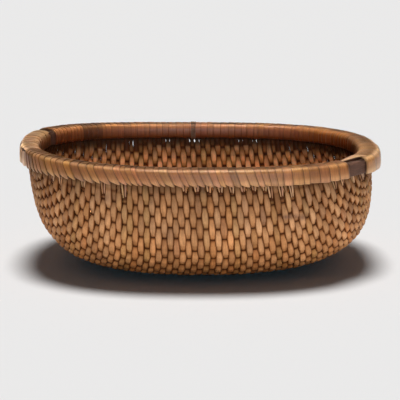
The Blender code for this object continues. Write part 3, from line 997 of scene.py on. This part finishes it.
def build_left_binding(material):
    """Broad splints in two layers over the left end."""
    draw = random.Random(61)
    parts = MeshParts()
    look = {"notch": 0.5 * MM, "widen": LEFT_WIDEN, "cast": LEFT_CAST, "seam_shade": 0.4}
    low, high = LEFT_BINDING
    width = (high - low) / LEFT_SPLINTS
    for number in range(LEFT_SPLINTS):
        middle = LEFT_END + low + (number + 0.5) * width
        slant = draw.uniform(0.0, 2.0) * MM
        lift = draw.uniform(0.0, 0.3) * MM
        add_splint(parts, draw, middle, width + LEFT_OVERLAP, slant, 500 + number, flare=0.3 * MM,
                   lift=lift, tone=1.75, thickness=1.1 * MM, **look)
    for number, place in enumerate(LEFT_TOP_PLACES_MM):
        width = draw.uniform(26.0, 34.0) * MM
        slant = draw.uniform(0.0, 3.0) * MM
        lift = draw.uniform(0.5, 0.8) * MM
        add_splint(parts, draw, LEFT_END + place * MM, width, slant, 520 + number, flare=0.2 * MM,
                   lift=lift, tone=2.0, reach_from=LEFT_TOP_FROM * SECTION_LENGTH, **look)
    parts.build("end_splints_left", material, "end_splint", "end_binding_left")


def build_right_binding(material):
    """Broad smooth splints over the right end, with a lapped end and a pointed tongue."""
    draw = random.Random(62)
    parts = MeshParts()
    place = RIGHT_BINDING[0]
    for number, width in enumerate(RIGHT_WIDTHS_MM):
        lift, tone = (1.7 * MM, 1.36) if number < RIGHT_LAPPING else (0.2 * MM, 1.2)
        add_splint(parts, draw, RIGHT_END + place + width * MM / 2.0, (width + 2.0) * MM,
                   slant=0.0, number=600 + number, notch=1.0 * MM, flare=0.4 * MM, lift=lift, tone=tone,
                   thickness=1.4 * MM, cast=RIGHT_CAST, seam_shade=0.5)
        place += width * MM
    parts.build("end_splints_right", material, "end_splint", "end_binding_right")
    build_tongue(material)


TONGUE_POINTS = 30
TONGUE_SIDES = 10
HOOP_SPANS = (("outer_hoop", 2.6 * MM, 16.2 * MM), ("inner_hoop", -14.6 * MM, -2.6 * MM))
HOOP_POINTS = 400
HOOP_SIDES = 20
HOOP_SQUARENESS = 0.3
HOOP_WAVER = 0.3 * MM
TIE_X = -0.011
TIE_TURNS = 4
TIE_PITCH_MM = 2.3
TIE_LIFT = 1.7 * MM
TIE_RADIUS = 1.0 * MM
STRAND_POINTS = 14
STRAND_SIDES = 8
TONGUE_TINT = np.array((0.62, 0.37, 0.20))
HOOP_TINT = np.array((0.125, 0.058, 0.036))
TIE_TINT = (0.26, 0.155, 0.10)


def build_tongue(material):
    """The loose pointed end of a splint lying along the top of the bare hoop."""
    parts = MeshParts()
    share = np.linspace(0.0, 1.0, TONGUE_POINTS)
    distance = RIGHT_END + RIGHT_BINDING[0] + mix(12.0 * MM, -44.0 * MM, share)
    place, outward = rim_places(distance)
    half = mix(9.0 * MM, 0.8 * MM, share**1.3)
    offset = mix(2.0 * MM, -8.0 * MM, share)
    height = RIM_LINE_Z + mix(30.0, 27.2, share) * MM + 1.2 * MM * np.sin(share * 5.0)
    centre = place + outward * offset[:, None] + UP * height[:, None]
    up = np.broadcast_to(UP, centre.shape)
    thickness = np.full(TONGUE_POINTS, 0.6 * MM)
    rings = round_sections(centre, outward, up, (half, half), thickness, TONGUE_SIDES, 0.6)
    around = np.linspace(0.0, 20.0 * MM, TONGUE_SIDES)
    parts.add_tube(rings, TONGUE_TINT, grain_grid(distance, around, 640))
    parts.build("end_splint_tongue", material, "end_splint")


def build_hoops(material):
    """The two bent hoops under the wrapping."""
    for name, near, far in HOOP_SPANS:
        parts = MeshParts()
        distance = np.linspace(0.0, RIM_LENGTH, HOOP_POINTS, endpoint=False)
        place, outward = rim_places(distance)
        middle = (near + far) / 2.0
        half_height = (HOOP_TOP_RISE - HOOP_FOOT_RISE) / 2.0
        across, up = unit_section(HOOP_SIDES, HOOP_SQUARENESS)
        across = across * (far - near) / 2.0
        up = up * half_height
        rings = place[:, None, :] + outward[:, None, :] * (middle + across)[None, :, None]
        rings = rings + UP * (RIM_LINE_Z + (HOOP_TOP_RISE + HOOP_FOOT_RISE) / 2.0 + up)[None, :, None]
        waver = np.array([noise.noise(Vector((value * 40.0, near * 900.0, 0.0))) for value in distance])
        rings = rings + outward[:, None, :] * (HOOP_WAVER * waver)[:, None, None]
        grains = grain_grid(distance, up + across, near / MM)
        parts.add_tube(rings[:, ::-1], HOOP_TINT, grains[:, ::-1], closed=True)
        parts.build(f"bent_{name}", material, "hoop_wood", name)


def build_tie(material):
    """Four turns of thin cord round the far rim."""
    parts = MeshParts()
    middle = far_rim_distance(TIE_X)
    reach = np.linspace(0.02, 0.72, 70) * SECTION_LENGTH
    for number in range(TIE_TURNS):
        distance = middle + (number - (TIE_TURNS - 1) / 2.0) * TIE_PITCH_MM * MM
        distance = distance + 0.3 * MM * np.sin(reach * 400.0 + number)
        offset, height = over_rim(reach, TIE_LIFT)
        place, outward = rim_places(distance)
        points = place + outward * offset[:, None] + UP * height[:, None]
        add_cord(parts, points, TIE_RADIUS, TIE_TINT, 90 + number)
    parts.build("tie_cord", material, "hemp", "rim_tie")


def build_strands(material):
    """The split ends of rods: two strands that spread from the last cord up into the rim."""
    parts = MeshParts()
    draw = random.Random(77)
    for index in range(RODS):
        across = rod_across(index)
        last = rows_crossed(across)
        at_last = swing_at_last(index, last)
        for side_sign in (1.0, -1.0):
            if is_split(index, at_last, side_sign):
                for edge_sign in (-1.0, 1.0):
                    add_strand(parts, draw, across, side_sign, edge_sign, last, index)
    parts.build("split_rod_ends", material, "willow")


def add_strand(parts, draw, across, side_sign, edge_sign, last, index):
    """One strand from the last cord up under the wrapping, beside its rod's middle line."""
    share = np.linspace(0.0, 1.0, STRAND_POINTS)
    foot = crossing(across, side_sign * last) - side_sign * 2.0 * MM
    top = side_sign * (rod_half_length(across) + 4.0 * MM)
    along = mix(foot, top, share)
    centre, sideways, outward, _, crowding = wall_axes(across, along)
    spread = ROD_PITCH / 2.0 * crowding * mix(0.16, draw.uniform(0.62, 0.82), share)
    lift = mix(-0.4 * MM, 2.2 * MM, smooth(share * 1.6)) + draw.uniform(-0.2, 0.5) * MM
    middle = centre + sideways * (edge_sign * spread)[:, None] + outward * lift[:, None]
    width = mix(0.8 * MM, draw.uniform(1.1, 1.6) * MM, np.sqrt(share))
    thickness = np.full(STRAND_POINTS, 0.8 * MM)
    rings = round_sections(middle, sideways, outward, (width, width), thickness, STRAND_SIDES, 0.8)
    tint = pick_shade(draw) * draw.uniform(0.75, 1.05)
    # Painted shade: each strand darkens towards its top, under the wrapping.
    tints = tint * mix(1.0, 0.55, smooth((share - 0.6) / 0.4))[:, None, None]
    grains = grain_grid(along, np.linspace(0.0, 3.0 * MM, STRAND_SIDES), 300 + index)
    if side_sign < 0.0:
        rings = rings[:, ::-1]
    parts.add_tube(rings, np.broadcast_to(tints, rings.shape), grains)


# --- stage ---

VIEW_ELEVATION = math.radians(9.3)
RIM_TOP_RISE = 29.1 * MM
VIEW_DISTANCE = 2.75
FOCAL_MM = 145.0
SHIFT_X = 0.00175
SHIFT_Y = -0.142
FLOOR_GREY = 0.80
WORLD_STRENGTH = 0.050
OVERHEAD_STRENGTH = 3.06
OVERHEAD_COLOUR = (1.0, 0.988, 0.981)
OVERHEAD_SOFTNESS = 19.0
# Lamps in front that light only the basket: name, turn about Z in degrees, strength.
FRONT_LIGHTS = (("front", 8.0, 2.05), ("front_left", -38.0, 0.4), ("front_right", 52.0, 0.4))
FRONT_TILT = 86.0
FRONT_SOFTNESS = 40.0
# A weak cool lamp on the floor alone, without shadow, against the warm light from the basket.
COOL_STRENGTH = 0.050
COOL_COLOUR = (0.3, 0.72, 1.0)
COOL_SOFTNESS = 5.0


def build_stage():
    """Pale floor and soft light."""
    bpy.ops.mesh.primitive_plane_add(size=60.0, location=(0.0, 0.0, 0.0))
    floor = bpy.context.object
    floor.name = "studio_floor"
    material = bpy.data.materials.new("studio_floor")
    material.use_nodes = True
    shader = material.node_tree.nodes["Principled BSDF"]
    shader.inputs["Base Color"].default_value = (FLOOR_GREY, FLOOR_GREY, FLOOR_GREY, 1.0)
    shader.inputs["Roughness"].default_value = 1.0
    shader.inputs["Specular IOR Level"].default_value = 0.0
    floor.data.materials.append(material)
    world = bpy.data.worlds.new("studio")
    world.use_nodes = True
    background = world.node_tree.nodes["Background"]
    background.inputs["Color"].default_value = (1.0, 1.0, 1.0, 1.0)
    background.inputs["Strength"].default_value = WORLD_STRENGTH
    bpy.context.scene.world = world
    overhead = add_sun("overhead", (0.0, 0.0, 0.0), OVERHEAD_STRENGTH, OVERHEAD_SOFTNESS)
    overhead.data.color = OVERHEAD_COLOUR
    woven = bpy.data.collections.new("front_light_receivers")
    for piece in bpy.context.scene.objects:
        if piece.type == "MESH" and piece is not floor:
            woven.objects.link(piece)
    for name, turn, strength in FRONT_LIGHTS:
        lamp = add_sun(name, (FRONT_TILT, 0.0, turn), strength, FRONT_SOFTNESS)
        lamp.light_linking.receiver_collection = woven
        lamp.data.cycles.max_bounces = 0
    ground = bpy.data.collections.new("cool_light_receivers")
    ground.objects.link(floor)
    cool = add_sun("cool_ground", (0.0, 0.0, 0.0), COOL_STRENGTH, COOL_SOFTNESS)
    cool.data.color = COOL_COLOUR
    cool.light_linking.receiver_collection = ground
    cool.data.use_shadow = False


def add_sun(name, degrees, strength, softness):
    """A broad soft lamp far away."""
    lamp = bpy.data.lights.new(name, "SUN")
    lamp.energy = strength
    lamp.angle = math.radians(softness)
    light = bpy.data.objects.new(name, lamp)
    light.rotation_euler = [math.radians(value) for value in degrees]
    bpy.context.scene.collection.objects.link(light)
    return light


def build_camera():
    """The photograph's viewpoint: a little above the rim, far away, the rim high in the frame."""
    target = Vector((0.0, 0.0, RIM_LINE_Z + RIM_TOP_RISE))
    direction = Vector((0.0, -math.cos(VIEW_ELEVATION), math.sin(VIEW_ELEVATION)))
    data = bpy.data.cameras.new("camera")
    data.lens = FOCAL_MM
    data.sensor_width = 36.0
    data.shift_x = SHIFT_X
    data.shift_y = SHIFT_Y
    data.clip_end = 100.0
    camera = bpy.data.objects.new("camera", data)
    camera.location = target + direction * VIEW_DISTANCE
    camera.rotation_mode = "QUATERNION"
    camera.rotation_quaternion = (-direction).to_track_quat("-Z", "Y")
    bpy.context.scene.collection.objects.link(camera)
    bpy.context.scene.camera = camera


def main():
    """Dress the whole basket."""
    bpy.context.scene.view_settings.view_transform = "Standard"
    willow = fibre_material("peeled_willow", streaks=(45.0, 430.0), streak_depth=0.20, blotch_depth=0.16,
                            specks=0.85, roughness=(0.45, 0.65), bump=0.35, gloss=0.12)
    splint = fibre_material("rim_splint", streaks=(30.0, 520.0), streak_depth=0.26, blotch_depth=0.12,
                            specks=0.5, roughness=(0.28, 0.46), bump=0.30, gloss=0.38)
    hoop = fibre_material("hoop_wood", streaks=(30.0, 500.0), streak_depth=0.35, blotch_depth=0.15,
                          specks=0.0, roughness=(0.55, 0.75), bump=0.5, gloss=0.25)
    hemp = fibre_material("hemp_cord", streaks=(900.0, 1800.0), streak_depth=0.30, blotch_depth=0.15,
                          specks=0.0, roughness=(0.8, 0.95), bump=0.6, gloss=0.1)
    build_rods(willow)
    build_cords(hemp)
    build_hoops(hoop)
    build_front_wrap(splint)
    build_back_wrap(splint)
    build_left_binding(splint)
    build_right_binding(splint)
    build_tie(hemp)
    build_strands(splint)
    build_stage()
    build_camera()


main()
